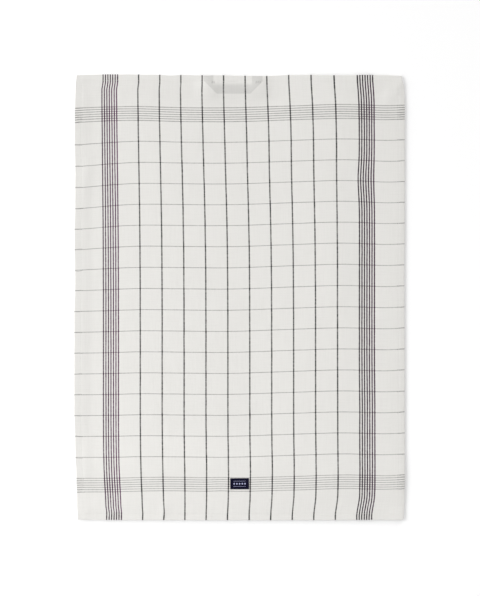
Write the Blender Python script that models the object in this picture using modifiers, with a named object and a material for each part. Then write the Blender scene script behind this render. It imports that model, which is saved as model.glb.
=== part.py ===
# A tea towel: one woven cotton cloth, hemmed on all four sides and lying flat with its face up,
# a tape hanging loop lying under the edge at +Y, and a small label sewn to the face near -Y.
# Metres, +Z up. The origin is in the middle of the towel, on the surface that it lies on.

import math
from collections import namedtuple

import bmesh
import bpy

# The cloth, over its hems
CLOTH_WIDTH = 0.510
CLOTH_LENGTH = 0.690
CLOTH_THICKNESS = 0.0012
HEM_WIDTH = 0.0115
HEM_THICKNESS = 0.0022  # the cloth and its turned-under layers
HEM_STEP = 0.0025  # how far the thickness takes to fall to the cloth's own
CELL = 0.011  # the largest cell of the cloth's mesh

# The hanging loop, a flat U of doubled tape whose legs run up to the edge at +Y
TAPE_WIDTH = 0.013
TAPE_THICKNESS = 0.002
LOOP_WIDTH = 0.090
LOOP_CENTRE = -0.0103
LOOP_DEPTH = 0.028  # from the towel's edge to the far side of the loop
LOOP_INSET = 0.002  # from the towel's edge to the ends of the legs

# The sewn label
LABEL_WIDTH = 0.0288
LABEL_LENGTH = 0.0169
LABEL_THICKNESS = 0.001
LABEL_CENTRE = (-0.0010, -0.2878)
LABEL_BEVEL = 0.0002

GAP = 0.0003  # between pieces that touch
COVER = 0.004  # how far the cloth stays raised beyond the loop
FALL = 0.024  # how far it takes to come down from there
SAME_PLACE = 0.00001  # places nearer than this to each other are one

# The edges aren't quite straight: how far each is drawn in, at a distance along it. The sides are
# measured from +Y and the ends from -X. The corner at +X +Y is the roundest.
Inset = namedtuple("Inset", "along depth")
LEFT_SIDE = (
    Inset(along=0.000, depth=0.0014),
    Inset(along=0.023, depth=0.0000),
    Inset(along=0.534, depth=0.0000),
    Inset(along=0.581, depth=0.0012),
    Inset(along=0.658, depth=0.0037),
    Inset(along=0.690, depth=0.0042),
)
RIGHT_SIDE = (
    Inset(along=0.000, depth=0.0060),
    Inset(along=0.008, depth=0.0031),
    Inset(along=0.014, depth=0.0014),
    Inset(along=0.035, depth=0.0003),
    Inset(along=0.080, depth=0.0000),
    Inset(along=0.655, depth=0.0000),
    Inset(along=0.690, depth=0.0012),
)
LOOP_END = (
    Inset(along=0.000, depth=0.0008),
    Inset(along=0.240, depth=0.0006),
    Inset(along=0.270, depth=0.0012),
    Inset(along=0.380, depth=0.0000),
    Inset(along=0.480, depth=0.0006),
    Inset(along=0.510, depth=0.0016),
)
LABEL_END = (
    Inset(along=0.000, depth=0.0008),
    Inset(along=0.100, depth=0.0002),
    Inset(along=0.300, depth=0.0000),
    Inset(along=0.510, depth=0.0006),
)

# The soft ridges that the cloth lies in. A turn of 0 runs along Y, and a positive one
# leans its +Y end towards -X.
Ridge = namedtuple("Ridge", "x y length width turn height")
RIDGES = (
    Ridge(x=-0.230, y=0.179, length=0.150, width=0.046, turn=7.0, height=0.0013),
    Ridge(x=0.196, y=0.160, length=0.090, width=0.046, turn=27.0, height=0.0014),
    Ridge(x=-0.233, y=-0.326, length=0.090, width=0.050, turn=45.0, height=0.0018),
    Ridge(x=0.236, y=0.324, length=0.090, width=0.060, turn=-40.0, height=0.0022),
    Ridge(x=-0.118, y=-0.326, length=0.090, width=0.044, turn=0.0, height=0.0012),
)

CLOTH_LOOK = {"colour": (0.79, 0.78, 0.75), "roughness": 0.9}
TAPE_LOOK = {"colour": (0.74, 0.73, 0.70), "roughness": 0.9}
LABEL_LOOK = {"colour": (0.022, 0.024, 0.048), "roughness": 0.7}


def clear_scene():
    for thing in list(bpy.data.objects):
        bpy.data.objects.remove(thing, do_unlink=True)
    for group in list(bpy.data.collections):
        bpy.data.collections.remove(group)


def make_material(name, look):
    material = bpy.data.materials.new(name)
    material.use_nodes = True
    surface = material.node_tree.nodes["Principled BSDF"]
    surface.inputs["Base Color"].default_value = (*look["colour"], 1.0)
    surface.inputs["Roughness"].default_value = look["roughness"]
    surface.inputs["Metallic"].default_value = 0.0
    return material


def add_piece(name, data, look, collection, parent):
    piece = bpy.data.objects.new(name, data)
    data.materials.append(make_material(name, look))
    collection.objects.link(piece)
    piece.parent = parent
    return piece


def smooth(share):
    share = min(max(share, 0.0), 1.0)
    return share * share * (3.0 - 2.0 * share)


def inset_at(rows, along):
    for near, far in zip(rows, rows[1:]):
        if along <= far.along:
            share = smooth((along - near.along) / (far.along - near.along))
            return near.depth + (far.depth - near.depth) * share
    return rows[-1].depth


def place_in_plan(across, down):
    # across is measured from the left side and down from the loop's end, on the cloth
    left = -CLOTH_WIDTH / 2 + inset_at(LEFT_SIDE, down)
    right = CLOTH_WIDTH / 2 - inset_at(RIGHT_SIDE, down)
    top = CLOTH_LENGTH / 2 - inset_at(LOOP_END, across)
    bottom = -CLOTH_LENGTH / 2 + inset_at(LABEL_END, across)
    x = left + (right - left) * across / CLOTH_WIDTH
    y = top + (bottom - top) * down / CLOTH_LENGTH
    return x, y


def rise_over_loop(x, y):
    beyond_side = abs(x - LOOP_CENTRE) - LOOP_WIDTH / 2 - COVER
    beyond_end = CLOTH_LENGTH / 2 - LOOP_DEPTH - COVER - y
    beyond = math.hypot(max(beyond_side, 0.0), max(beyond_end, 0.0))
    return (TAPE_THICKNESS + GAP) * smooth(1.0 - beyond / FALL)


def rise_of_ridge(ridge, x, y):
    turn = math.radians(ridge.turn)
    along = (y - ridge.y) * math.cos(turn) - (x - ridge.x) * math.sin(turn)
    across = (x - ridge.x) * math.cos(turn) + (y - ridge.y) * math.sin(turn)
    away = math.hypot(2 * along / ridge.length, 2 * across / ridge.width)
    return ridge.height * smooth(1.0 - away)


def underside_height(x, y):
    return max(rise_over_loop(x, y), *(rise_of_ridge(ridge, x, y) for ridge in RIDGES))


def stations(marks):
    # every mark, with even steps between them that are no longer than a cell
    found = [marks[0]]
    for near, far in zip(marks, marks[1:]):
        count = math.ceil((far - near) / CELL)
        found += [near + (far - near) * step / count for step in range(1, count + 1)]
    return found


def cloth_stations():
    # the cloth's mesh has a line at each side of a hem and around the raised place over the loop
    hem_end = HEM_WIDTH + HEM_STEP
    loop_side = LOOP_WIDTH / 2 + COVER
    loop_middle = CLOTH_WIDTH / 2 + LOOP_CENTRE
    loop_end = LOOP_DEPTH + COVER
    across = stations((
        0.0,
        HEM_WIDTH,
        hem_end,
        loop_middle - loop_side - FALL,
        loop_middle - loop_side,
        loop_middle + loop_side,
        loop_middle + loop_side + FALL,
        CLOTH_WIDTH - hem_end,
        CLOTH_WIDTH - HEM_WIDTH,
        CLOTH_WIDTH,
    ))
    down = stations((
        0.0,
        HEM_WIDTH,
        hem_end,
        loop_end,
        loop_end + FALL,
        CLOTH_LENGTH - hem_end,
        CLOTH_LENGTH - HEM_WIDTH,
        CLOTH_LENGTH,
    ))
    return across, down


def in_hem(across, down):
    reach = HEM_WIDTH + SAME_PLACE
    return (
        min(across, CLOTH_WIDTH - across) <= reach
        or min(down, CLOTH_LENGTH - down) <= reach
    )


def build_cloth(collection, parent):
    across, down = cloth_stations()
    columns, rows = len(across) - 1, len(down) - 1
    grid = bmesh.new()
    bmesh.ops.create_grid(grid, x_segments=columns, y_segments=rows, size=0.5)
    thick = []
    for vertex in grid.verts:
        column = round((vertex.co.x + 0.5) * columns)
        row = round((0.5 - vertex.co.y) * rows)
        x, y = place_in_plan(across[column], down[row])
        vertex.co = (x, y, underside_height(x, y))
        if in_hem(across[column], down[row]):
            thick.append(vertex.index)
    mesh = bpy.data.meshes.new("towel_cloth")
    grid.to_mesh(mesh)
    grid.free()
    cloth = add_piece("towel_cloth", mesh, CLOTH_LOOK, collection, parent)
    hem = cloth.vertex_groups.new(name="hem")
    hem.add(thick, 1.0, "REPLACE")
    body = cloth.modifiers.new("thickness", "SOLIDIFY")
    body.thickness = HEM_THICKNESS
    body.offset = 1.0  # upwards, so that the underside stays where it lies
    body.vertex_group = hem.name
    body.thickness_vertex_group = CLOTH_THICKNESS / HEM_THICKNESS
    return cloth


def build_loop(collection, parent):
    half = LOOP_WIDTH / 2
    ends = CLOTH_LENGTH / 2 - LOOP_INSET
    far = CLOTH_LENGTH / 2 - LOOP_DEPTH
    # the tape is folded over itself at each corner, which cuts the corner off at 45 degrees
    outline = (
        (-half, ends),
        (-half, far + TAPE_WIDTH),
        (-half + TAPE_WIDTH, far),
        (half - TAPE_WIDTH, far),
        (half, far + TAPE_WIDTH),
        (half, ends),
        (half - TAPE_WIDTH, ends),
        (half - TAPE_WIDTH, far + TAPE_WIDTH),
        (-half + TAPE_WIDTH, far + TAPE_WIDTH),
        (-half + TAPE_WIDTH, ends),
    )
    curve = bpy.data.curves.new("hanging_loop", "CURVE")
    curve.dimensions = "2D"
    curve.fill_mode = "BOTH"
    curve.extrude = TAPE_THICKNESS / 2
    spline = curve.splines.new("POLY")
    spline.points.add(len(outline) - 1)
    for point, (x, y) in zip(spline.points, outline):
        point.co = (x, y, 0.0, 1.0)
    spline.use_cyclic_u = True
    loop = add_piece("hanging_loop", curve, TAPE_LOOK, collection, parent)
    loop.location = (LOOP_CENTRE, 0.0, TAPE_THICKNESS / 2)
    return loop


def build_label(collection, parent):
    mesh = bpy.data.meshes.new("sewn_label")
    box = bmesh.new()
    bmesh.ops.create_cube(box, size=1.0)
    bmesh.ops.scale(box, vec=(LABEL_WIDTH, LABEL_LENGTH, LABEL_THICKNESS), verts=box.verts)
    box.to_mesh(mesh)
    box.free()
    label = add_piece("sewn_label", mesh, LABEL_LOOK, collection, parent)
    label.location = (*LABEL_CENTRE, CLOTH_THICKNESS + GAP + LABEL_THICKNESS / 2)
    edge = label.modifiers.new("edge", "BEVEL")
    edge.width = LABEL_BEVEL
    edge.segments = 1
    return label


def main():
    clear_scene()
    collection = bpy.data.collections.new("tea_towel")
    bpy.context.scene.collection.children.link(collection)
    parent = bpy.data.objects.new("tea_towel", None)
    collection.objects.link(parent)
    build_cloth(collection, parent)
    build_loop(collection, parent)
    build_label(collection, parent)


main()
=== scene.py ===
import math
import bpy
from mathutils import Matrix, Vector, noise


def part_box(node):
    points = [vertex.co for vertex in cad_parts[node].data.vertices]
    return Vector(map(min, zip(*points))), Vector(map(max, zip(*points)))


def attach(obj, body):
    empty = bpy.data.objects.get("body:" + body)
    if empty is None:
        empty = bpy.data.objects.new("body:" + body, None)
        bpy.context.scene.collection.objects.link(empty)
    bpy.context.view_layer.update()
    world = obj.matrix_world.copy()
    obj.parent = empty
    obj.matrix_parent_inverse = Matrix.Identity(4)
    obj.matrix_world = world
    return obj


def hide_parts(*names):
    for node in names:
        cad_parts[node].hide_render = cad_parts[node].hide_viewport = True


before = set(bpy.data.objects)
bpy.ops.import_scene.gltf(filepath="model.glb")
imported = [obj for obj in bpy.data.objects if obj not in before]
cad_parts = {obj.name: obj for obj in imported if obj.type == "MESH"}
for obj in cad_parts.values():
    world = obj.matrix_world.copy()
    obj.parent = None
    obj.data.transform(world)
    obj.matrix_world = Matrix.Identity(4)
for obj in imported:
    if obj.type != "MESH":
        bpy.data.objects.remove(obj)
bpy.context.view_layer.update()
clothLow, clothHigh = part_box("towel_cloth")
loopLow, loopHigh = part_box("hanging_loop")
labelLow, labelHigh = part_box("sewn_label")
mm = 0.001
samePlace = 0.01 * mm
clothWide = clothHigh.x - clothLow.x
clothLong = clothHigh.y - clothLow.y
labelWide = labelHigh.x - labelLow.x
labelTall = labelHigh.y - labelLow.y
print("frame loaded")


def smooth(share):
    share = min(max(share, 0.0), 1.0)
    return share * share * (3.0 - 2.0 * share)


def mix(first, second, share):
    return first + (second - first) * share


def bell(away):
    return math.exp(-away * away)


def tableOf(names, *rows):
    # a dictionary for each row, under the same names
    return [dict(zip(names, row)) for row in rows]


# where each seed reads Blender's noise, and what brings it to about -1 to 1
noiseRow = {"y": 7.31, "z": 2.17, "swing": 1.6}


def waver(seed, along, size):
    # a wander along a line, with humps of this size
    place = Vector((along / size, seed * noiseRow["y"], seed * noiseRow["z"]))
    return noise.noise(place) * noiseRow["swing"]


def evenly(near, far, step):
    # even steps, from the first one after near up to far
    if far - near < samePlace:
        return []
    count = math.ceil((far - near) / step)
    return [mix(near, far, number / count) for number in range(1, count + 1)]


def applyModifier(piece, modifier):
    bpy.context.view_layer.objects.active = piece
    bpy.ops.object.modifier_apply(modifier=modifier.name)


def flatGrid(name, columns, rows):
    bpy.ops.object.select_all(action="DESELECT")
    bpy.ops.mesh.primitive_grid_add(
        x_subdivisions=columns, y_subdivisions=rows, size=1.0, calc_uvs=False)
    piece = bpy.context.object
    piece.name = name
    piece.data.name = name
    return piece


def giveBody(piece, thick, offset):
    body = piece.modifiers.new("body", "SOLIDIFY")
    body.thickness = thick
    body.offset = offset
    applyModifier(piece, body)


def gridPlace(point, columns, rows):
    # a vertex's column and row on the flat grid, from the corner at -X +Y
    return round((point.x + 0.5) * columns), round((0.5 - point.y) * rows)


def giveThreads(mesh, spots):
    # the piece's own UV map, in metres along its threads
    layer = mesh.uv_layers.new(name="threads")
    for loop in mesh.loops:
        layer.data[loop.index].uv = spots[loop.vertex_index]


def givePaint(mesh, name, values):
    paint = mesh.attributes.new(name, "FLOAT", "POINT")
    paint.data.foreach_set("value", values)


def smoothShade(piece, degrees):
    bpy.ops.object.select_all(action="DESELECT")
    piece.select_set(True)
    bpy.context.view_layer.objects.active = piece
    bpy.ops.object.shade_smooth_by_angle(angle=math.radians(degrees))


# the camera looks straight down, as the photo does
view = {
    "pixelsTall": 596,
    "pixelSize": 1.549 * mm,        # what a pixel covers on the table
    "towelAside": 0.25,             # pixels from the frame's middle to the towel's, to the right
    "towelAbove": 0.30,             # and upwards
    "lens": 90.0,
    "sensor": 36.0,
}


def addCamera():
    tall = view["pixelsTall"] * view["pixelSize"]
    away = tall * view["lens"] / view["sensor"]
    place = (
        -view["towelAside"] * view["pixelSize"],
        -view["towelAbove"] * view["pixelSize"],
        away,
    )
    bpy.ops.object.camera_add(location=place, rotation=(0.0, 0.0, 0.0))
    camera = bpy.context.object
    camera.name = "overhead"
    camera.data.lens = view["lens"]
    camera.data.sensor_fit = "VERTICAL"
    camera.data.sensor_height = view["sensor"]
    camera.data.dof.use_dof = False
    bpy.context.scene.camera = camera


# how the cloth lies
towel = {
    "thick": 0.7 * mm,
    "hemThick": 1.6 * mm,           # three layers
    "hemWide": 11.5 * mm,
    "hemInside": 12.1 * mm,         # where the turned layers have ended underneath
    "stitchIn": 9.5 * mm,           # from the edge to the row of stitches
    "stitchSink": 0.10 * mm,
    "stitchReach": 0.7 * mm,
    "foldRound": 0.42 * mm,
    "foldRoundBelow": 0.20 * mm,    # at the label's end
    "foldTip": 0.02 * mm,
    "cornerRound": 1.4 * mm,
    "cornerExtra": 0.5 * mm,        # the hems cross there
    "edgeWander": 0.125 * mm,
    "edgeWanderSize": 24.0 * mm,
    "unevenness": 0.35 * mm,        # the cloth never lies quite flat
    "unevennessSize": 75.0 * mm,
    "unevennessSwing": 0.8,
    "unevennessSlice": 0.37,        # where it reads the noise
    "cell": 4.2 * mm,
    "fineCell": 2.3 * mm,           # around the loop
    "fineBeside": 6.0 * mm,
    "fineBelow": 18.0 * mm,
    "sharpAngle": 60.0,             # degrees
}
# the stitches pucker the hems along their row
pucker = {
    "high": 0.06 * mm,
    "size": 11.0 * mm,
    "from": 3.0 * mm,               # it shows in full this far from the edge
    "fades": 14.0 * mm,             # beyond the stitches
    "drift": 3.0,                   # how far its waves crowd and spread
    "driftSize": 40.0 * mm,
    "steady": 0.6,                  # the shares of its height that stay and that vary
    "varies": 0.4,
    "varySize": 30.0 * mm,
}

# the mesh's lines at each edge, from the fold inwards, in millimetres
edgeLines = (
    0, 0.08, 0.2, 0.4, 0.6, 1.2, 2.5, 4.5, 6.5, 8, 8.8, 9.5, 10.2, 11, 11.5, 12.1, 13.5,
    16, 19, 22)

# how far from each edge the face has come down from the hem
settledAt = {"left": 30.0 * mm, "right": 60.0 * mm, "top": 40.0 * mm, "bottom": 60.0 * mm}

# how far each edge is drawn in, at distances along it, both in millimetres; the sides are
# measured from +Y and the ends from -X
drawnIn = {
    "left": (
        (0, 1.4), (19, 0.0), (60, -0.9), (100, -1.2), (150, -0.2), (200, -0.4), (240, -1.3),
        (325, -0.5), (375, -1.8), (520, -1.9), (565, -0.5), (590, 0.1), (615, 1.5), (650, 2.4),
        (690, 3.2)),
    "right": (
        (0, 5.2), (5, 4.6), (11, 2.8), (17, 1.3), (26, 0.6), (45, 0.3), (80, 0.4), (220, 0.5),
        (320, 1.0), (480, 0.6), (560, 0.4), (625, 0.5), (658, 0.9), (677, 1.6), (690, 2.4)),
    "loopEnd": (
        (0, 0.3), (45, -0.8), (130, -0.2), (147, 0.7), (165, 0.1), (205, 0.8), (230, 0.6),
        (258, 1.5), (290, 1.9), (335, 0.2), (370, 0.1), (405, 0.9), (450, 0.4), (480, 0.5),
        (510, 1.6)),
    "labelEnd": ((0, 1.4), (100, 0.8), (300, 0.7), (510, 1.2)),
}
wanderSeeds = {"left": 1, "right": 2, "loopEnd": 3, "labelEnd": 4}

# the soft creases: a turn of 0 degrees runs along Y, and a positive one leans its +Y end to -X
creases = tableOf(
    ("x", "y", "length", "width", "turn", "rise"),
    (-0.237, 0.190, 0.130, 0.020, -10, 0.75 * mm),
    (-0.214, 0.190, 0.150, 0.034, 3, 0.35 * mm),
    (0.192, 0.164, 0.080, 0.016, 27, 0.55 * mm),
    (-0.242, -0.322, 0.060, 0.018, 62, 0.70 * mm),
    (-0.222, -0.316, 0.090, 0.026, 48, 0.60 * mm),
    (0.229, 0.316, 0.070, 0.012, -4, 0.50 * mm),
    (0.243, 0.322, 0.060, 0.016, -30, 0.60 * mm),
    (-0.118, -0.330, 0.050, 0.014, -8, 0.60 * mm),
    (0.160, 0.343, 0.260, 0.116, 88, 2.60 * mm),
    (0.150, 0.040, 0.300, 0.050, 2, 0.25 * mm),
    (-0.040, -0.170, 0.260, 0.060, 84, 0.22 * mm),
)
creaseReach = 1.5                   # widths from its middle line, where a crease has ended

# the cloth swells up near an edge: how far from the edge the swell starts and is highest, its
# height there and at the edge, and a soft lip that turns down, or up where it is below 0
swells = tableOf(
    ("edge", "starts", "highest", "high", "atEdge", "lipReach", "lip"),
    ("left", 0.026, 1.0 * mm, 0.6 * mm, 0.6 * mm, 10.0 * mm, -0.35 * mm),
    ("right", 0.250, 0.096, 2.4 * mm, 1.2 * mm, 9.0 * mm, 0.6 * mm),
    ("bottom", 0.150, 0.070, 2.0 * mm, 0.9 * mm, 9.0 * mm, 0.0 * mm),
)
flatCorner = 0.060                  # the side swells die out towards the corners
swellBlend = 4                      # where two of them meet, the higher one tells


def drawnInAt(side, along):
    rows = drawnIn[side]
    along = along / mm
    for near, far in zip(rows, rows[1:]):
        if along <= far[0]:
            return mix(near[1], far[1], smooth((along - near[0]) / (far[0] - near[0]))) * mm
    return rows[-1][1] * mm


def fromEdges(across, down):
    # how far a place on the cloth is from its nearer side and from its nearer end
    return min(across, clothWide - across), min(down, clothLong - down)


def roundCorner(across, down):
    # a square corner's lines are eased onto a round one
    size = towel["cornerRound"]
    fromSide, fromEnd = fromEdges(across, down)
    if fromSide >= size or fromEnd >= size:
        return across, down
    side = 1.0 - fromSide / size
    end = 1.0 - fromEnd / size
    newSide = size * (1.0 - side * math.sqrt(1.0 - end * end / 2.0))
    newEnd = size * (1.0 - end * math.sqrt(1.0 - side * side / 2.0))
    across = newSide if across < clothWide / 2 else clothWide - newSide
    down = newEnd if down < clothLong / 2 else clothLong - newEnd
    return across, down


def edgeInset(side, along):
    wander = towel["edgeWander"] * waver(wanderSeeds[side], along, towel["edgeWanderSize"])
    return drawnInAt(side, along) + wander


def planPlace(across, down):
    # a place in plan, from how far it is along the cloth from the side at -X and the end at +Y
    across, down = roundCorner(across, down)
    left = clothLow.x + edgeInset("left", down)
    right = clothHigh.x - edgeInset("right", down)
    top = clothHigh.y - edgeInset("loopEnd", across)
    bottom = clothLow.y + edgeInset("labelEnd", across)
    return mix(left, right, across / clothWide), mix(top, bottom, down / clothLong)


tape = {
    "wide": 13.0 * mm,
    "thick": 0.85 * mm,             # doubled
    "low": 0.45 * mm,               # the middle of the lower layer
    "high": 1.42 * mm,              # and of the upper one, where the tape is folded over itself
    "settles": 10.0 * mm,
    "foldReach": 0.5 * mm,
    "foldSteps": 3,                 # on each side of a fold's line
    "across": 8,
    "step": 2.2 * mm,
    "sharpAngle": 50.0,
    "clothOver": 1.15 * mm,         # how high the cloth lies over a layer of it
    "clothInside": 0.80,            # the share of that inside the U
    "clothEase": 5.0 * mm,
    "clothFall": 22.0 * mm,
    "clothOverFold": 0.85 * mm,     # how much higher it lies at the folds
    "foldAt": 0.6,                  # widths of the tape in from its outer sides
    "foldFlat": 5.0 * mm,
    "foldSpread": 9.0 * mm,
}
# the painted shade of it, which darkens the cloth's colour where it shows through, is a little
# wider than the tape
tapeShade = {
    "outside": 1.2 * mm,            # beyond the tape on the left and below
    "leftLeg": 14.8 * mm,
    "rightLeg": 16.6 * mm,
    "run": 15.0 * mm,
    "leftCorner": 20.0 * mm,        # where each corner's cut meets the sides
    "rightCorner": 18.8 * mm,
    "soft": 1.6 * mm,
    "openingSoft": 2.6 * mm,
    "runSoft": 7.5 * mm,            # the run's upper edge, which lies deeper
}


def insideTape(x, y):
    # how far a place is inside the tape's flat U, and below 0 outside it
    side = min(x - loopLow.x, loopHigh.x - x)
    end = y - loopLow.y
    cutCorner = (side + end - tape["wide"]) / math.sqrt(2.0)
    opening = min(side, end) - tape["wide"]
    return min(side, end, cutCorner, -opening)


def insideShade(x, y):
    # how far inside the outer and the inner edge of the painted shade, in units of how soft each
    # edge is
    fromLeft = x - loopLow.x + tapeShade["outside"]
    fromRight = loopHigh.x - x
    above = y - loopLow.y + tapeShade["outside"]
    leftCut = (fromLeft + above - tapeShade["leftCorner"]) / math.sqrt(2.0)
    rightCut = (fromRight + above - tapeShade["rightCorner"]) / math.sqrt(2.0)
    outer = min(fromLeft, fromRight, above, leftCut, rightCut) / tapeShade["soft"]
    legs = min(fromLeft - tapeShade["leftLeg"], fromRight - tapeShade["rightLeg"])
    inner = max(-legs / tapeShade["openingSoft"], (tapeShade["run"] - above) / tapeShade["runSoft"])
    return outer, inner


def riseOverTape(x, y):
    beyondSide = max(loopLow.x - x, x - loopHigh.x, 0.0)
    beyondEnd = max(loopLow.y - y, 0.0)
    away = math.hypot(beyondSide, beyondEnd)
    rise = tape["clothOver"] * smooth(1.0 - away / tape["clothFall"])
    rise *= mix(tape["clothInside"], 1.0, smooth(0.5 + insideTape(x, y) / tape["clothEase"]))
    fold = tape["wide"] * tape["foldAt"]
    for foldX in (loopLow.x + fold, loopHigh.x - fold):
        beyond = max(math.hypot(x - foldX, y - loopLow.y - fold) - tape["foldFlat"], 0.0)
        rise += tape["clothOverFold"] * bell(beyond / tape["foldSpread"])
    return rise


def riseOfCreases(x, y):
    rise = 0.0
    for crease in creases:
        turn = math.radians(crease["turn"])
        along = (y - crease["y"]) * math.cos(turn) - (x - crease["x"]) * math.sin(turn)
        across = (x - crease["x"]) * math.cos(turn) + (y - crease["y"]) * math.sin(turn)
        if abs(along) < crease["length"] / 2 and abs(across) < crease["width"] * creaseReach:
            share = smooth(1.0 - abs(2 * along / crease["length"]))
            rise += crease["rise"] * share * bell(2 * across / crease["width"])
    return rise


def riseOfSwells(x, y):
    swollen, lips = 0.0, 0.0
    fromTop, fromBottom = clothHigh.y - y, y - clothLow.y
    fromEdge = {"left": x - clothLow.x, "right": clothHigh.x - x, "bottom": fromBottom}
    for swell in swells:
        away = max(fromEdge[swell["edge"]], 0.0)
        if away > swell["highest"]:
            share = smooth((swell["starts"] - away) / (swell["starts"] - swell["highest"]))
            lifted = swell["high"] * share
        else:
            lifted = mix(swell["atEdge"], swell["high"], smooth(away / swell["highest"]))
        lifted *= smooth(fromTop / flatCorner)
        if swell["edge"] != "bottom":
            lifted *= smooth(fromBottom / flatCorner)
        swollen += lifted ** swellBlend
        lips += swell["lip"] * max(1.0 - away / swell["lipReach"], 0.0) ** 2
    return swollen ** (1 / swellBlend) - lips


def hemSettled(across, down):
    # 0 on the hems and 1 where the cloth has its own thickness
    ways = {"left": across, "right": clothWide - across, "top": down, "bottom": clothLong - down}
    wide = towel["hemWide"]
    return min(smooth((ways[side] - wide) / (settledAt[side] - wide)) for side in ways)


def puckerAt(seed, fromEdge, run):
    window = smooth(fromEdge / pucker["from"])
    window *= smooth(1.0 - (fromEdge - towel["stitchIn"]) / pucker["fades"])
    drift = pucker["drift"] * waver(seed, run, pucker["driftSize"])
    wave = math.sin(run * 2 * math.pi / pucker["size"] + drift)
    high = pucker["steady"] + pucker["varies"] * waver(seed + 2, run, pucker["varySize"])
    return pucker["high"] * window * wave * high


def clothPoint(across, down, face):
    # a place on the cloth, on its face (1) or its underside (0)
    x, y = planPlace(across, down)
    fromSide, fromEnd = fromEdges(across, down)
    fromEdge = min(fromSide, fromEnd)
    lies = riseOverTape(x, y) + riseOfCreases(x, y) + riseOfSwells(x, y)
    size = towel["unevennessSize"]
    place = Vector((x / size, y / size, towel["unevennessSlice"]))
    uneven = 0.5 + towel["unevennessSwing"] * noise.noise(place)
    uneven = towel["unevenness"] * min(max(uneven, 0.0), 1.0)
    settled = hemSettled(across, down)
    hem = towel["hemThick"]
    hem += towel["cornerExtra"] * smooth(2.0 - max(fromSide, fromEnd) / towel["hemWide"])
    body = mix(hem, towel["thick"] + uneven, settled)
    # the stitches pull the hem in, and pucker it
    sink = bell((fromEdge - towel["stitchIn"]) / towel["stitchReach"])
    ripple = puckerAt(5, fromSide, down) + puckerAt(6, fromEnd, across)
    below = clothLong - down <= fromSide
    foldRound = towel["foldRoundBelow"] if below else towel["foldRound"]
    full = min((fromEdge + towel["foldTip"]) / (foldRound + towel["foldTip"]), 1.0)
    full = math.sqrt(1.0 - (1.0 - full) ** 2)
    middle = body / 2
    if face:
        return x, y, lies + middle * (1.0 + full) + ripple - towel["stitchSink"] * sink
    if fromEdge < (towel["hemWide"] + towel["hemInside"]) / 2:
        return x, y, lies + middle * (1.0 - full) + towel["stitchSink"] * sink / 2
    return x, y, lies + body + ripple - towel["thick"]


# where the threads are pulled out of line, and how far, to the right (+X) and up (+Y)
pulls = tableOf(
    ("x", "y", "reachX", "reachY", "right", "up"),
    (0.034, 0.345, 0.232, 0.186, -7.6 * mm, 0.0),
    (0.209, 0.283, 0.062, 0.170, 5.3 * mm, 0.0),
    (0.080, 0.265, 0.095, 0.060, 1.7 * mm, 0.0),
    (0.187, 0.182, 0.022, 0.028, -2.0 * mm, 0.0),
    (0.000, -0.270, 0.460, 0.047, 0.9 * mm, 0.0),
    (-0.210, -0.332, 0.116, 0.046, 4.0 * mm, 0.0),
    (0.193, -0.335, 0.090, 0.020, -0.8 * mm, 0.0),
    (-0.118, -0.329, 0.012, 0.011, 0.8 * mm, 0.0),
    (-0.013, -0.050, 0.074, 0.600, 0.0, -2.2 * mm),
    (-0.155, 0.000, 0.040, 2.000, 0.0, 0.8 * mm),
    (0.147, 0.000, 0.039, 2.000, 0.0, 0.8 * mm),
    (-0.264, 0.144, 0.054, 0.116, 0.0, -5.0 * mm),
    (-0.264, -0.260, 0.060, 0.120, 0.0, 1.4 * mm),
    (0.224, 0.000, 0.034, 2.000, 0.0, -1.7 * mm),
    (0.251, 0.182, 0.043, 0.139, 0.0, -1.5 * mm),
    (-0.163, 0.275, 0.054, 0.077, 0.0, 1.4 * mm),
    (0.000, 0.105, 2.000, 0.108, 0.0, 1.5 * mm),
    (-0.228, 0.284, 0.055, 0.035, 0.0, 2.6 * mm),
    (-0.100, -0.289, 0.050, 0.030, 0.0, 1.2 * mm),
    (-0.029, -0.289, 0.022, 0.022, 0.0, 1.5 * mm),
    (0.100, -0.289, 0.050, 0.030, 0.0, -0.6 * mm),
    (0.228, 0.240, 0.045, 0.130, -2.9 * mm, 0.0),
    (0.200, -0.180, 0.050, 0.060, 0.7 * mm, 0.0),
)
lean = {"from": -0.1057, "up": 0.0148}      # the weft runs a little uphill to the right

# each end's hem is drawn up tighter than the cloth, towards a place along it
hemDraws = tableOf(
    ("end", "side", "towards", "share", "starts", "over"),
    (1, -1, 0.0, 0.0088, 24.0 * mm, 14.0 * mm),
    (1, 1, 0.0, 0.0092, 44.0 * mm, 40.0 * mm),
    (-1, -1, -0.093, 0.0117, 24.0 * mm, 14.0 * mm),
    (-1, 1, -0.093, 0.0122, 40.0 * mm, 36.0 * mm),
)


def threadPlace(x, y):
    # where a place's threads would be if none were pulled
    right = 0.0
    up = lean["up"] * (x - lean["from"])
    for pull in pulls:
        share = bell((x - pull["x"]) / pull["reachX"]) * bell((y - pull["y"]) / pull["reachY"])
        right += pull["right"] * share
        up += pull["up"] * share
    for draw in hemDraws:
        fromEnd = clothLong / 2 - draw["end"] * y
        share = smooth((draw["starts"] - fromEnd) / draw["over"])
        away = max(draw["side"] * (x - draw["towards"]), 0.0)
        right -= draw["share"] * draw["side"] * away * share
    return x - right, y - up


def meshLines(size, fineFrom, fineTo):
    edge = [line * mm for line in edgeLines]
    inner = size - edge[-1]
    lines = list(edge)
    lines += evenly(edge[-1], fineFrom, towel["cell"])
    lines += evenly(fineFrom, fineTo, towel["fineCell"])
    lines += evenly(fineTo, inner, towel["cell"])
    lines += [size - line for line in reversed(edge[:-1])]
    return lines


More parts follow.
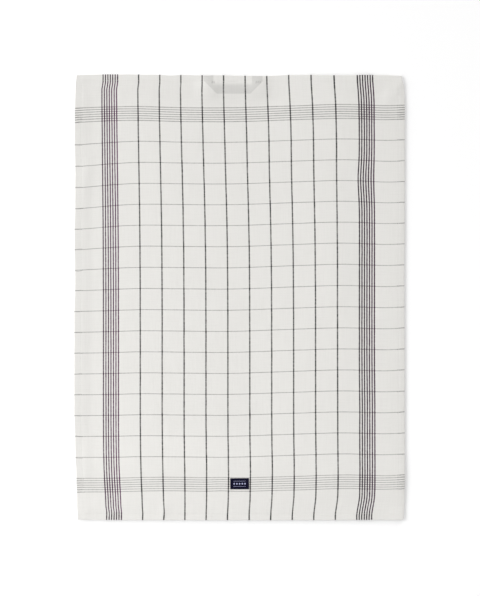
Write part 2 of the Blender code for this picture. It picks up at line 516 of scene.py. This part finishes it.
def addCloth():
    fineFrom = loopLow.x - clothLow.x - towel["fineBeside"]
    fineTo = loopHigh.x - clothLow.x + towel["fineBeside"]
    across = meshLines(clothWide, fineFrom, fineTo)
    fineTo = clothHigh.y - loopLow.y + towel["fineBelow"]
    down = meshLines(clothLong, edgeLines[-1] * mm, fineTo)
    columns, rows = len(across) - 1, len(down) - 1
    cloth = flatGrid("striped_cloth", columns, rows)
    giveBody(cloth, 1.0, 1.0)       # a metre thick while it is flat, so each side is easy to tell
    hemEdge = towel["hemWide"] + samePlace
    threads = []
    paints = {"sideHem": [], "endHem": [], "shadeOuter": [], "shadeInner": []}
    for vertex in cloth.data.vertices:
        column, row = gridPlace(vertex.co, columns, rows)
        face = vertex.co.z > 0.5
        place = clothPoint(across[column], down[row], face)
        vertex.co = place
        threads.append(threadPlace(place[0], place[1]))
        fromSide, fromEnd = fromEdges(across[column], down[row])
        outer, inner = insideShade(place[0], place[1])
        paints["sideHem"].append(1.0 if fromSide < hemEdge else 0.0)
        paints["endHem"].append(1.0 if fromEnd < hemEdge else 0.0)
        paints["shadeOuter"].append(outer if face else -1.0)
        paints["shadeInner"].append(inner)
    giveThreads(cloth.data, threads)
    for name, values in paints.items():
        givePaint(cloth.data, name, values)
    smoothShade(cloth, towel["sharpAngle"])
    print("cloth:", columns, "by", rows, "cells")
    return cloth


def tapeRows():
    # the hanging loop is one tape, folded over itself at two corners; each row of the strip has
    # its place along the tape and how far it slants across it
    firstFold = loopHigh.y - loopLow.y - tape["wide"] / 2
    secondFold = firstFold + (loopHigh.x - loopLow.x) - tape["wide"]
    end = secondFold + firstFold
    reach = tape["foldReach"] * math.sqrt(2.0)
    rows = [(0.0, 0.0)]
    marks = (
        (firstFold - reach, 1.0, tape["step"]),
        (firstFold + reach, 1.0, reach / tape["foldSteps"]),
        (secondFold - reach, -1.0, tape["step"]),
        (secondFold + reach, -1.0, reach / tape["foldSteps"]),
        (end, 0.0, tape["step"]),
    )
    for along, slant, step in marks:
        nearAlong, nearSlant = rows[-1]
        for here in evenly(nearAlong, along, step):
            share = (here - nearAlong) / (along - nearAlong)
            rows.append((here, mix(nearSlant, slant, share)))
    return rows, firstFold, secondFold


def foldTape(along, aside, firstFold, secondFold):
    # a strip running down, turned over a slanting line to run across, and over another to run up
    wide = tape["wide"]
    x = loopLow.x + wide / 2 + aside
    y = loopHigh.y - along
    pastFirst = (along - firstFold - aside) / math.sqrt(2.0)
    pastSecond = (along - secondFold + aside) / math.sqrt(2.0)
    if pastFirst > 0.0:
        total = loopLow.x + loopLow.y + wide
        x, y = total - y, total - x
    if pastSecond > 0.0:
        apart = loopLow.y + wide - loopHigh.x
        x, y = y - apart, x + apart
    reach = tape["foldReach"]
    turned = 0.5 + 0.5 * math.sin(math.pi / 2 * min(max(pastFirst / reach, -1.0), 1.0))
    turned *= 0.5 - 0.5 * math.sin(math.pi / 2 * min(max(pastSecond / reach, -1.0), 1.0))
    offLeg = min(x - loopLow.x, loopHigh.x - x) - wide
    upper = mix(tape["high"], tape["low"], smooth(offLeg / tape["settles"]))
    return x, y, mix(tape["low"], upper, turned)


def addTape():
    rows, firstFold, secondFold = tapeRows()
    columns = tape["across"]
    strip = flatGrid("loop_tape", columns, len(rows) - 1)
    threads = []
    for vertex in strip.data.vertices:
        column, row = gridPlace(vertex.co, columns, len(rows) - 1)
        aside = (column / columns - 0.5) * tape["wide"]
        along = rows[row][0] + rows[row][1] * aside
        vertex.co = foldTape(along, aside, firstFold, secondFold)
        threads.append((aside, along))
    giveThreads(strip.data, threads)
    giveBody(strip, tape["thick"], 0.0)
    smoothShade(strip, tape["sharpAngle"])
    print("loop:", len(rows) - 1, "rows")
    return strip


label = {
    "thick": 0.45 * mm,
    "turnedThick": 0.75 * mm,       # at the two ends, which are turned under
    "turned": 2.6 * mm,
    "turnedEase": 0.4 * mm,
    "crown": 0.10 * mm,
    "crownEase": 5.0 * mm,
    "edgeRound": 0.25 * mm,
    "edgeTip": 0.01 * mm,
    "edgeLines": (0.0, 0.06, 0.14, 0.25),       # the mesh's lines at its edges, in millimetres
    "cell": 0.9 * mm,
    "sharpAngle": 50.0,
    "tilt": 0.3,                    # degrees
    "over": 0.03 * mm,              # the cloth
    "stitchIn": 1.0 * mm,
}


def clothTop(x, y):
    return clothPoint(x - clothLow.x, clothHigh.y - y, 1)[2]


def labelPoint(aside, above, face):
    # a place on the label, from its middle
    turn = math.radians(label["tilt"])
    x = (labelLow.x + labelHigh.x) / 2 + aside * math.cos(turn) - above * math.sin(turn)
    y = (labelLow.y + labelHigh.y) / 2 + aside * math.sin(turn) + above * math.cos(turn)
    fromEnd = labelWide / 2 - abs(aside)
    fromEdge = min(fromEnd, labelTall / 2 - abs(above))
    single = smooth((fromEnd - label["turned"]) / label["turnedEase"])
    body = mix(label["turnedThick"], label["thick"], single)
    body += label["crown"] * smooth(fromEdge / label["crownEase"])
    full = min((fromEdge + label["edgeTip"]) / label["edgeRound"], 1.0)
    full = math.sqrt(max(1.0 - (1.0 - full) ** 2, 0.0))
    height = body / 2 * (1.0 + full) if face else body / 2 * (1.0 - full)
    return x, y, clothTop(x, y) + label["over"] + height


def labelLines(size):
    edge = [line * mm for line in label["edgeLines"]]
    lines = edge + evenly(edge[-1], size - edge[-1], label["cell"])
    return lines + [size - line for line in reversed(edge[:-1])]


def addLabel():
    aside, above = labelLines(labelWide), labelLines(labelTall)
    columns, rows = len(aside) - 1, len(above) - 1
    patch = flatGrid("woven_label", columns, rows)
    giveBody(patch, 1.0, 1.0)
    threads = []
    for vertex in patch.data.vertices:
        column, row = gridPlace(vertex.co, columns, rows)
        spot = (aside[column] - labelWide / 2, labelTall / 2 - above[row])
        vertex.co = labelPoint(spot[0], spot[1], vertex.co.z > 0.5)
        threads.append(spot)
    giveThreads(patch.data, threads)
    smoothShade(patch, label["sharpAngle"])
    print("label:", columns, "by", rows, "cells")
    return patch


# one stitch is modelled, arrayed along a row and laid on the cloth
stitch = {
    "long": 2.3 * mm,
    "pitch": 3.0 * mm,
    "thick": 0.36 * mm,
    "sides": 6,
    "rings": 4,
}
# short bars of stitches hold the loop's legs to the hem
tack = {
    "long": 4.2 * mm,
    "pitch": 3.1 * mm,
    "thick": 0.50 * mm,
    "from": 11.4 * mm,              # the towel's edge
    "bars": ((-43.6 * mm, 2), (24.5 * mm, 3)),      # where each starts, and its count
}
labelStitch = {"long": 1.5 * mm, "pitch": 2.0 * mm, "thick": 0.26 * mm}


def sewRow(name, kind, long, count, place):
    # place gives a vertex's spot from how far along the row, aside of it and above the cloth it is
    bpy.ops.object.select_all(action="DESELECT")
    bpy.ops.mesh.primitive_uv_sphere_add(
        segments=stitch["sides"], ring_count=stitch["rings"], radius=0.5, calc_uvs=False)
    row = bpy.context.object
    row.name = name
    row.data.name = name
    bpy.ops.object.mode_set(mode="EDIT")
    bpy.ops.transform.rotate(
        value=math.pi / 2, orient_axis="Y", center_override=(0.0, 0.0, 0.0))
    bpy.ops.transform.resize(value=(long, kind["thick"], kind["thick"]))
    bpy.ops.object.mode_set(mode="OBJECT")
    copies = row.modifiers.new("copies", "ARRAY")
    copies.use_relative_offset = False
    copies.use_constant_offset = True
    copies.constant_offset_displace = (kind["pitch"], 0.0, 0.0)
    copies.count = count
    applyModifier(row, copies)
    for vertex in row.data.vertices:
        vertex.co = place(vertex.co.x, vertex.co.y, vertex.co.z)
    return row


def joinRows(name, rows):
    bpy.ops.object.select_all(action="DESELECT")
    for row in rows:
        row.select_set(True)
    bpy.context.view_layer.objects.active = rows[0]
    bpy.ops.object.join()
    piece = bpy.context.object
    piece.name = name
    piece.data.name = name
    bpy.ops.object.mode_set(mode="EDIT")
    bpy.ops.mesh.select_all(action="SELECT")
    bpy.ops.mesh.normals_make_consistent(inside=False)
    bpy.ops.object.mode_set(mode="OBJECT")
    bpy.ops.object.shade_smooth()
    return piece


def onHem(side, face):
    start = towel["stitchIn"] + stitch["long"] / 2

    def place(along, aside, above):
        across, down = {
            "top": (start + along, towel["stitchIn"] + aside),
            "bottom": (start + along, clothLong - towel["stitchIn"] + aside),
            "left": (towel["stitchIn"] + aside, start + along),
            "right": (clothWide - towel["stitchIn"] + aside, start + along),
        }[side]
        x, y, z = clothPoint(across, down, face)
        return x, y, z + above

    return place


def addHemStitches():
    rows = []
    sides = {"top": clothWide, "bottom": clothWide, "left": clothLong, "right": clothLong}
    for side, size in sides.items():
        count = int((size - 2 * towel["stitchIn"]) / stitch["pitch"])
        for face in (1, 0):
            rows.append(sewRow(side, stitch, stitch["long"], count, onHem(side, face)))
    return joinRows("hem_stitches", rows)


def addTacks():
    rows = []
    middle = clothHigh.y - tack["from"]
    for start, count in tack["bars"]:
        def place(along, aside, above):
            # the stitches lie side by side, and each runs up and down
            x = start + along
            y = middle + aside * tack["long"] / tack["thick"]
            return x, y, clothTop(x, y) + above
        rows.append(sewRow("tack", tack, tack["thick"], count, place))
    return joinRows("loop_tacks", rows)


def addLabelStitches():
    rows = []
    for size, other, turned in ((labelWide, labelTall, False), (labelTall, labelWide, True)):
        count = int((size - 2 * label["stitchIn"]) / labelStitch["pitch"])
        start = -(count - 1) * labelStitch["pitch"] / 2
        for way in (-1, 1):
            inset = way * (other / 2 - label["stitchIn"])

            def place(along, aside, above):
                spot = (start + along, inset + aside)
                if turned:
                    spot = (spot[1], spot[0])
                x, y, z = labelPoint(spot[0], spot[1], 1)
                return x, y, z + above
            rows.append(sewRow("end", labelStitch, labelStitch["long"], count, place))
    return joinRows("label_stitches", rows)


def treeOf(values):
    return next(value.id_data for value in values if isinstance(value, bpy.types.NodeSocket))


def putIn(socket, value):
    if isinstance(value, bpy.types.NodeSocket):
        socket.id_data.links.new(value, socket)
    else:
        socket.default_value = value


def mathNode(operation):
    # gives the function that adds such a node for the values it is called with
    def add(*values):
        node = treeOf(values).nodes.new("ShaderNodeMath")
        node.operation = operation
        for socket, value in zip(node.inputs, values):
            putIn(socket, value)
        return node.outputs[0]

    return add


plus = mathNode("ADD")
minus = mathNode("SUBTRACT")
times = mathNode("MULTIPLY")
timesPlus = mathNode("MULTIPLY_ADD")
divide = mathNode("DIVIDE")
higher = mathNode("MAXIMUM")
lower = mathNode("MINIMUM")
absolute = mathNode("ABSOLUTE")
nearest = mathNode("ROUND")
fraction = mathNode("FRACT")
isBelow = mathNode("LESS_THAN")
sine = mathNode("SINE")


def ramp(value, fromLow, fromHigh, toLow, toHigh):
    # an eased change from one value to another
    node = treeOf((value,)).nodes.new("ShaderNodeMapRange")
    node.interpolation_type = "SMOOTHSTEP"
    names = ("Value", "From Min", "From Max", "To Min", "To Max")
    for name, given in zip(names, (value, fromLow, fromHigh, toLow, toHigh)):
        putIn(node.inputs[name], given)
    return node.outputs["Result"]


def vector(x, y, z=0.0):
    node = treeOf((x, y)).nodes.new("ShaderNodeCombineXYZ")
    for socket, value in zip(node.inputs, (x, y, z)):
        putIn(socket, value)
    return node.outputs[0]


def split(value):
    node = treeOf((value,)).nodes.new("ShaderNodeSeparateXYZ")
    putIn(node.inputs[0], value)
    return node.outputs[0], node.outputs[1]


def cloud(place, scale=1.0, detail=2.0):
    node = treeOf((place,)).nodes.new("ShaderNodeTexNoise")
    putIn(node.inputs["Vector"], place)
    node.inputs["Scale"].default_value = scale
    node.inputs["Detail"].default_value = detail
    return node.outputs[0]


def blendColours(first, second, share):
    node = treeOf((share,)).nodes.new("ShaderNodeMix")
    node.data_type = "RGBA"
    putIn(node.inputs["Factor"], share)
    putIn(node.inputs["A"], first)
    putIn(node.inputs["B"], second)
    return node.outputs["Result"]


def startGroup(name, inputs, outputs):
    group = bpy.data.node_groups.new(name, "ShaderNodeTree")
    for title, kind in inputs.items():
        group.interface.new_socket(title, in_out="INPUT", socket_type="NodeSocket" + kind)
    for title in outputs:
        group.interface.new_socket(title, in_out="OUTPUT", socket_type="NodeSocketFloat")
    given = group.nodes.new("NodeGroupInput").outputs
    result = group.nodes.new("NodeGroupOutput").inputs
    return group, given, result


def useGroup(group, values):
    node = treeOf(values.values()).nodes.new("ShaderNodeGroup")
    node.node_tree = group
    for title, value in values.items():
        putIn(node.inputs[title], value)
    return node.outputs


sheenRoughness = 0.6


def startMaterial(name, roughness, sheen, gloss):
    material = bpy.data.materials.new(name)
    material.use_nodes = True
    tree = material.node_tree
    shader = tree.nodes["Principled BSDF"]
    shader.inputs["Roughness"].default_value = roughness
    shader.inputs["Sheen Weight"].default_value = sheen
    shader.inputs["Sheen Roughness"].default_value = sheenRoughness
    shader.inputs["Specular IOR Level"].default_value = gloss
    return material, tree, shader


def addLook(shader, colour, height, look):
    putIn(shader.inputs["Base Color"], colour)
    bump = treeOf((height,)).nodes.new("ShaderNodeBump")
    bump.inputs["Strength"].default_value = look["bumpStrength"]
    bump.inputs["Distance"].default_value = look["bumpDeep"]
    putIn(bump.inputs["Height"], height)
    putIn(shader.inputs["Normal"], bump.outputs["Normal"])


def readThreads(tree):
    node = tree.nodes.new("ShaderNodeUVMap")
    node.uv_map = "threads"
    return node.outputs["UV"]


def readPaint(tree, name):
    node = tree.nodes.new("ShaderNodeAttribute")
    node.attribute_name = name
    return node.outputs["Fac"]


weaveLook = {
    "driftScale": 160.0,            # of the noise that pushes the yarns aside
    "drift": 1.6 * mm,
    "crossSoft": 0.35,
}


def makeWeave():
    # plain weave: yarns along V (warp) and U (weft) pass over and under each other
    group, given, result = startGroup(
        "plainWeave", {"Threads": "Vector", "Pitch": "Float"}, ("Height", "Warp Over"))
    across, along = split(given["Threads"])
    drift = minus(cloud(given["Threads"], weaveLook["driftScale"]), 0.5)
    drift = times(drift, weaveLook["drift"])
    warp = sine(times(divide(plus(across, drift), given["Pitch"]), math.pi))
    weft = sine(times(divide(minus(along, drift), given["Pitch"]), math.pi))
    soft = weaveLook["crossSoft"]
    over = ramp(times(warp, weft), -soft, soft, 0.0, 1.0)
    height = plus(times(absolute(warp), over), times(absolute(weft), minus(1.0, over)))
    putIn(result["Height"], height)
    putIn(result["Warp Over"], over)
    return group


slubLook = {
    "warp": (620.0, 26.0, 0.0),     # the noise's scales across and along, and where it is cut
    "weft": (30.0, 700.0, 5.0),
    "patchScale": 22.0,
    "patchDetail": 3.0,
    "patchShare": 0.35,
}


def makeSlubs():
    # hand-spun looking yarns: long streaks, a little thicker or thinner, both ways
    group, given, result = startGroup("slubs", {"Threads": "Vector"}, ("Shade",))
    across, along = split(given["Threads"])
    streaks = [
        cloud(vector(times(across, scaleAcross), times(along, scaleAlong), cut))
        for scaleAcross, scaleAlong, cut in (slubLook["warp"], slubLook["weft"])]
    patches = cloud(given["Threads"], slubLook["patchScale"], slubLook["patchDetail"])
    share = slubLook["patchShare"]
    shade = timesPlus(patches, share, plus(streaks[0], streaks[1]))
    # brought back to a middle of 0.5
    putIn(result["Shade"], minus(divide(shade, 1.0 + share / 2), 0.5))
    return group


yarnLook = {
    "softHalf": 0.175 * mm,         # half of how wide a line's soft edge is
    "near": 0.8 * mm,               # how far beyond a line the cloth is near it
    "ownStep": 3.7,                 # how far apart two lines read the noise
    "ownFirst": 90.0,
    "slowScale": 45.0,
    "quickScale": 330.0,
    "quickCut": 4.0,
    "wander": 0.5 * mm,
    "halfLeast": 0.39,              # half of a line, as a share of its width
    "halfMore": 0.22,
    "dyeLeast": 0.55,
    "dyeMore": 0.45,
}


def makeYarnLines():
    # evenly spaced lines of dyed yarn, each with its own slight wander and fading
    group, given, result = startGroup(
        "yarnLines",
        dict.fromkeys(("Across", "Along", "First", "Pitch", "Count", "Width"), "Float"),
        ("Line", "Near", "Number"))
    number = nearest(divide(minus(given["Across"], given["First"]), given["Pitch"]))
    number = lower(higher(number, 0.0), minus(given["Count"], 1.0))
    middle = timesPlus(number, given["Pitch"], given["First"])
    own = timesPlus(number, yarnLook["ownStep"], times(given["First"], yarnLook["ownFirst"]))
    slow = cloud(vector(times(given["Along"], yarnLook["slowScale"]), own))
    quick = times(given["Along"], yarnLook["quickScale"])
    quick = cloud(vector(quick, own, yarnLook["quickCut"]))
    wander = times(minus(slow, 0.5), yarnLook["wander"])
    away = absolute(minus(given["Across"], plus(middle, wander)))
    half = times(given["Width"], timesPlus(quick, yarnLook["halfMore"], yarnLook["halfLeast"]))
    full = minus(half, yarnLook["softHalf"])
    line = ramp(away, full, plus(half, yarnLook["softHalf"]), 1.0, 0.0)
    near = ramp(away, full, plus(half, yarnLook["near"]), 1.0, 0.0)
    dye = timesPlus(plus(slow, quick), yarnLook["dyeMore"], yarnLook["dyeLeast"])
    putIn(result["Line"], times(line, dye))
    putIn(result["Near"], near)
    putIn(result["Number"], number)
    return group


# the lines of dyed yarn, in metres of the threads map, and each line's width in millimetres;
# cover is the dyed share of the face, and fades how much of it is lost per metre towards -Y;
# plum is how far the first line's dye leans from charcoal to plum, and plumStep how much more
# each next line's does; crosses is how much of crossingCover it brings to a crossing
stripes = tableOf(
    ("runs", "first", "pitch", "count", "wide", "cover", "fades", "plum", "plumStep", "crosses"),
    ("warp", -0.1548, 0.03392, 10, 2.05, 0.85, 0.0, 0.0, 0.0, 0.5),
    ("warp", -0.2118, 0.00387, 7, 1.72, 1.00, 0.12, 0.50, 0.08, 1.0),
    ("warp", 0.1843, 0.00387, 7, 1.95, 1.06, 0.25, 0.20, 0.05, 1.0),
    ("weft", -0.2462, 0.03246, 16, 1.05, 0.49, 0.0, 0.0, 0.0, 1.0),
    ("weft", 0.2727, 0.00358, 7, 1.30, 0.48, 0.0, 0.08, 0.0, 1.0),
    ("weft", -0.2996, 0.00350, 7, 1.20, 0.42, 0.0, 0.08, 0.0, 1.0),
)
crossingCover = 0.36                # the extra dye that shows where dyed yarns cross


def makeStripes(yarnLines):
    group, given, result = startGroup("towelStripes", {"Threads": "Vector"}, ("Cover", "Plum"))
    across, along = split(given["Threads"])
    covers = {"warp": 0.0, "weft": 0.0}
    nears = {"warp": 0.0, "weft": 0.0}
    plum = 0.0
    for stripe in stripes:
        runs = stripe["runs"]
        line = useGroup(yarnLines, {
            "Across": across if runs == "warp" else along,
            "Along": along if runs == "warp" else across,
            "First": stripe["first"],
            "Pitch": stripe["pitch"],
            "Count": stripe["count"],
            "Width": stripe["wide"] * mm,
        })
        cover = times(line["Line"], timesPlus(along, stripe["fades"], stripe["cover"]))
        covers[runs] = higher(covers[runs], cover)
        nears[runs] = higher(nears[runs], times(line["Near"], stripe["crosses"]))
        leans = timesPlus(line["Number"], stripe["plumStep"], stripe["plum"])
        plum = higher(plum, times(line["Line"], leans))
    # where a dyed warp yarn crosses a dyed weft yarn, whichever lies on top is dyed
    crossing = times(times(nears["warp"], nears["weft"]), crossingCover)
    cover = plus(plus(covers["warp"], covers["weft"]), crossing)
    putIn(result["Cover"], lower(cover, 1.0))
    putIn(result["Plum"], plum)
    return group


finish = {
    "undyed": (0.800, 0.788, 0.760, 1.0),
    "undyedDark": (0.752, 0.740, 0.712, 1.0),
    "charcoal": (0.020, 0.019, 0.021, 1.0),
    "plum": (0.093, 0.012, 0.080, 1.0),
    # painted shade: the grey of the tape below, seen through the cloth
    "paintedTapeShade": (0.20, 0.20, 0.195, 1.0),
    "paintedShadeShare": 0.22,              # how much the painted shade of the tape below darkens the face
    "slubs": (0.25, 0.95, 0.0, 0.75),       # the darker yarn's ramp over the slubs' shade
    "slubHigh": 0.5,
    "weftDye": 0.92,                # the share of the dye that shows on the weft
    "warpDye": 0.16,                # and how much more on the warp
    "hemShows": 0.62,
    "hemGreys": 0.55,               # the doubled dye looks less plum
    "endSlip": 2.4 * mm,            # how far the turned layers lie out of line
    "endSlipScale": 34.0,
    "sideSlip": 7.2 * mm,
    "sideSlipScale": 55.0,
    "weavePitch": 0.55 * mm,
    "bumpDeep": 0.12 * mm,
    "bumpStrength": 0.55,
}


def clothFinish(weave, slubs, towelStripes):
    material, tree, shader = startMaterial("washed_cotton", roughness=0.88, sheen=0.05, gloss=0.10)
    threads = readThreads(tree)
    sideHem = readPaint(tree, "sideHem")
    endHem = readPaint(tree, "endHem")
    woven = useGroup(weave, {"Threads": threads, "Pitch": finish["weavePitch"]})
    shade = useGroup(slubs, {"Threads": threads})["Shade"]
    ground = blendColours(finish["undyed"], finish["undyedDark"], ramp(shade, *finish["slubs"]))
    face = useGroup(towelStripes, {"Threads": threads})
    # the turned layers' stripes show through the hems, a little out of line
    endSlip = times(minus(cloud(threads, finish["endSlipScale"]), 0.5), endHem)
    sideSlip = times(minus(cloud(threads, finish["sideSlipScale"]), 0.5), sideHem)
    across, along = split(threads)
    across = plus(across, times(endSlip, finish["endSlip"]))
    along = plus(along, times(sideSlip, finish["sideSlip"]))
    turned = useGroup(towelStripes, {"Threads": vector(across, along)})
    inHem = higher(sideHem, endHem)
    shows = times(times(turned["Cover"], inHem), finish["hemShows"])
    dyed = timesPlus(woven["Warp Over"], finish["warpDye"], finish["weftDye"])
    bare = times(minus(1.0, times(face["Cover"], dyed)), minus(1.0, shows))
    plum = times(face["Plum"], timesPlus(inHem, -finish["hemGreys"], 1.0))
    dye = blendColours(finish["charcoal"], finish["plum"], plum)
    colour = blendColours(ground, dye, minus(1.0, bare))
    # painted shade of the tape below, laid into the face colour; the paints run from -0.5 to 0.5
    # over the soft edges of the tape's shade
    outer = ramp(readPaint(tree, "shadeOuter"), -0.5, 0.5, 0.0, finish["paintedShadeShare"])
    inner = ramp(readPaint(tree, "shadeInner"), -0.5, 0.5, 0.0, 1.0)
    colour = blendColours(colour, finish["paintedTapeShade"], times(outer, inner))
    addLook(shader, colour, timesPlus(shade, finish["slubHigh"], woven["Height"]), finish)
    return material


tapeLook = {
    "pale": (0.70, 0.69, 0.655, 1.0),
    "deep": (0.58, 0.565, 0.53, 1.0),
    "slubs": (0.2, 0.9, 0.0, 0.6),
    "edgeBand": (5.3 * mm, 5.7 * mm, 0.0, 1.0),       # the tape is darker in a band along each edge; its ramp, from the tape's middle line
    "edgeBandDarkening": 0.18,
    "weavePitch": 0.62 * mm,
    "bumpDeep": 0.16 * mm,
    "bumpStrength": 0.7,
}


def tapeFinish(weave, slubs):
    material, tree, shader = startMaterial("cotton_tape", roughness=0.90, sheen=0.05, gloss=0.12)
    threads = readThreads(tree)
    across, along = split(threads)
    # herringbone: the threads lean one way on each half of the tape
    leaning = vector(across, plus(absolute(across), along))
    woven = useGroup(weave, {"Threads": leaning, "Pitch": tapeLook["weavePitch"]})
    shade = useGroup(slubs, {"Threads": threads})["Shade"]
    edgeBand = ramp(absolute(across), *tapeLook["edgeBand"])
    share = timesPlus(edgeBand, tapeLook["edgeBandDarkening"], ramp(shade, *tapeLook["slubs"]))
    colour = blendColours(tapeLook["pale"], tapeLook["deep"], share)
    addLook(shader, colour, woven["Height"], tapeLook)
    return material


# the label's face: a row of small diamonds between two dashed rules
motif = {
    # the navy's two colours are painted shade where the weave lies low and a painted highlight
    # where it lies high
    "navy": (0.0038, 0.0037, 0.0130, 1.0),
    "navyPaintedHighlight": (0.0070, 0.0068, 0.0240, 1.0),
    "pale": (0.56, 0.58, 0.84, 1.0),
    "paleShare": 0.84,
    "diamonds": 5,
    "pitch": 4.2 * mm,
    "halfWide": 1.30 * mm,
    "halfTall": 1.60 * mm,
    "diamondSoft": 0.15,
    "ruleAt": 4.1 * mm,             # above and below the middle
    "ruleHalf": 0.25 * mm,
    "ruleSoft": 0.1 * mm,
    "ruleReach": 9.6 * mm,
    "dash": 1.5 * mm,
    "dashShare": 0.62,
    "dashFrom": 0.1,                # metres to the left of the middle
    "raised": 1.2,
    "weavePitch": 0.22 * mm,
    "bumpDeep": 0.05 * mm,
    "bumpStrength": 0.6,
}


def labelFinish(weave):
    material, tree, shader = startMaterial("label_satin", roughness=0.70, sheen=0.0, gloss=0.04)
    threads = readThreads(tree)
    across, above = split(threads)
    level = absolute(above)
    woven = useGroup(weave, {"Threads": threads, "Pitch": motif["weavePitch"]})
    last = (motif["diamonds"] - 1) / 2
    number = lower(higher(nearest(divide(across, motif["pitch"])), -last), last)
    aside = absolute(minus(across, times(number, motif["pitch"])))
    away = plus(divide(aside, motif["halfWide"]), divide(level, motif["halfTall"]))
    soft = motif["diamondSoft"]
    diamonds = ramp(away, 1.0 - soft, 1.0 + soft, 1.0, 0.0)
    fromRule = absolute(minus(level, motif["ruleAt"]))
    half, soft = motif["ruleHalf"], motif["ruleSoft"]
    rule = ramp(fromRule, half - soft, half + soft, 1.0, 0.0)
    reach = isBelow(absolute(across), motif["ruleReach"])
    dash = fraction(divide(plus(across, motif["dashFrom"]), motif["dash"]))
    rule = times(rule, times(reach, isBelow(dash, motif["dashShare"])))
    pale = times(higher(diamonds, rule), motif["paleShare"])
    # painted shade and highlight: the navy is darker where the weave's threads lie low and lighter
    # where they lie high
    navy = blendColours(motif["navy"], motif["navyPaintedHighlight"], woven["Height"])
    colour = blendColours(navy, motif["pale"], pale)
    addLook(shader, colour, timesPlus(pale, motif["raised"], woven["Height"]), motif)
    return material


# the sewing threads' colours where their fibres are high and low: a painted highlight on the high
# fibres and painted shade in the low ones
threadLook = {
    "pale_thread": ((0.81, 0.80, 0.775, 1.0), (0.68, 0.67, 0.645, 1.0)),
    "navy_thread": ((0.018, 0.019, 0.048, 1.0), (0.006, 0.007, 0.018, 1.0)),
    "grey_thread": ((0.30, 0.30, 0.29, 1.0), (0.20, 0.20, 0.19, 1.0)),
    "twistScale": 5200.0,
    "bumpDeep": 0.06 * mm,
    "bumpStrength": 0.6,
}


def makeTwist():
    # the twist of a sewing thread
    group, given, result = startGroup("threadTwist", {"Place": "Vector"}, ("Height",))
    putIn(result["Height"], cloud(given["Place"], threadLook["twistScale"]))
    return group


def threadFinish(name, twist):
    material, tree, shader = startMaterial(name, roughness=0.75, sheen=0.05, gloss=0.12)
    place = tree.nodes.new("ShaderNodeTexCoord").outputs["Object"]
    height = useGroup(twist, {"Place": place})["Height"]
    high, low = threadLook[name]
    # painted shade: the thread is darker where its twisted fibres lie low
    addLook(shader, blendColours(low, high, height), height, threadLook)
    return material


white = (1.0, 1.0, 1.0, 1.0)
studio = {
    "tableSize": 9.0,
    "tableDrop": 0.3 * mm,          # below the towel
    "tableColour": (0.96, 0.96, 0.96, 1.0),
    "tableRoughness": 0.9,
    "tableGloss": 0.1,
    "tableGlow": 0.07,
    "world": 0.55,
    "sunAway": 3.0,
    "fillFrom": (-1.5, -0.62, 1.0),
    "fillSize": 1.2,
    "fillPower": 11.9,
}
# wide soft lights: where each comes from, its strength on a surface that faces up, and how many
# degrees wide it looks
suns = (
    {"name": "key", "from": (-1.0, 0.42, 0.44), "onTable": 0.21, "wide": 36.0},
    {"name": "back", "from": (0.20, 1.0, 0.28), "onTable": 0.11, "wide": 30.0},
)


def addTable():
    below = (0.0, 0.0, -studio["tableDrop"])
    bpy.ops.mesh.primitive_plane_add(size=studio["tableSize"], location=below)
    table = bpy.context.object
    table.name = "table"
    material = bpy.data.materials.new("white_table")
    material.use_nodes = True
    shader = material.node_tree.nodes["Principled BSDF"]
    shader.inputs["Base Color"].default_value = studio["tableColour"]
    shader.inputs["Roughness"].default_value = studio["tableRoughness"]
    shader.inputs["Specular IOR Level"].default_value = studio["tableGloss"]
    shader.inputs["Emission Color"].default_value = white
    shader.inputs["Emission Strength"].default_value = studio["tableGlow"]
    table.data.materials.append(material)


def aimLamp(lamp, place):
    lamp.rotation_euler = (-Vector(place)).to_track_quat("-Z", "Y").to_euler()


def addLight():
    scene = bpy.context.scene
    scene.view_settings.view_transform = "Standard"
    scene.view_settings.look = "None"
    world = bpy.data.worlds.new("studio")
    world.use_nodes = True
    sky = world.node_tree.nodes["Background"]
    sky.inputs["Color"].default_value = white
    sky.inputs["Strength"].default_value = studio["world"]
    scene.world = world
    for sun in suns:
        toward = Vector(sun["from"]).normalized()
        bpy.ops.object.light_add(type="SUN", location=toward * studio["sunAway"])
        lamp = bpy.context.object
        lamp.name = sun["name"]
        lamp.data.energy = sun["onTable"] * math.pi / toward.z
        lamp.data.angle = math.radians(sun["wide"])
        aimLamp(lamp, toward)
    bpy.ops.object.light_add(type="AREA", location=studio["fillFrom"])
    fill = bpy.context.object
    fill.name = "fill"
    fill.data.shape = "DISK"
    fill.data.size = studio["fillSize"]
    fill.data.energy = studio["fillPower"]
    aimLamp(fill, studio["fillFrom"])


def settle(piece, material):
    piece.data.materials.clear()
    piece.data.materials.append(material)
    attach(piece, "root")


addCamera()
addTable()
addLight()
print("camera, table and light done")

weave = makeWeave()
slubs = makeSlubs()
towelStripes = makeStripes(makeYarnLines())
twist = makeTwist()
cotton = clothFinish(weave, slubs, towelStripes)
tapeCotton = tapeFinish(weave, slubs)
labelSatin = labelFinish(weave)
paleThread = threadFinish("pale_thread", twist)
navyThread = threadFinish("navy_thread", twist)
greyThread = threadFinish("grey_thread", twist)
print("finishes done")

cloth = addCloth()
settle(cloth, cotton)
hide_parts("towel_cloth")

loopTape = addTape()
settle(loopTape, tapeCotton)
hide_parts("hanging_loop")

patch = addLabel()
settle(patch, labelSatin)
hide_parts("sewn_label")
print("pieces done")

settle(addHemStitches(), paleThread)
settle(addTacks(), greyThread)
settle(addLabelStitches(), navyThread)
print("stitches done")
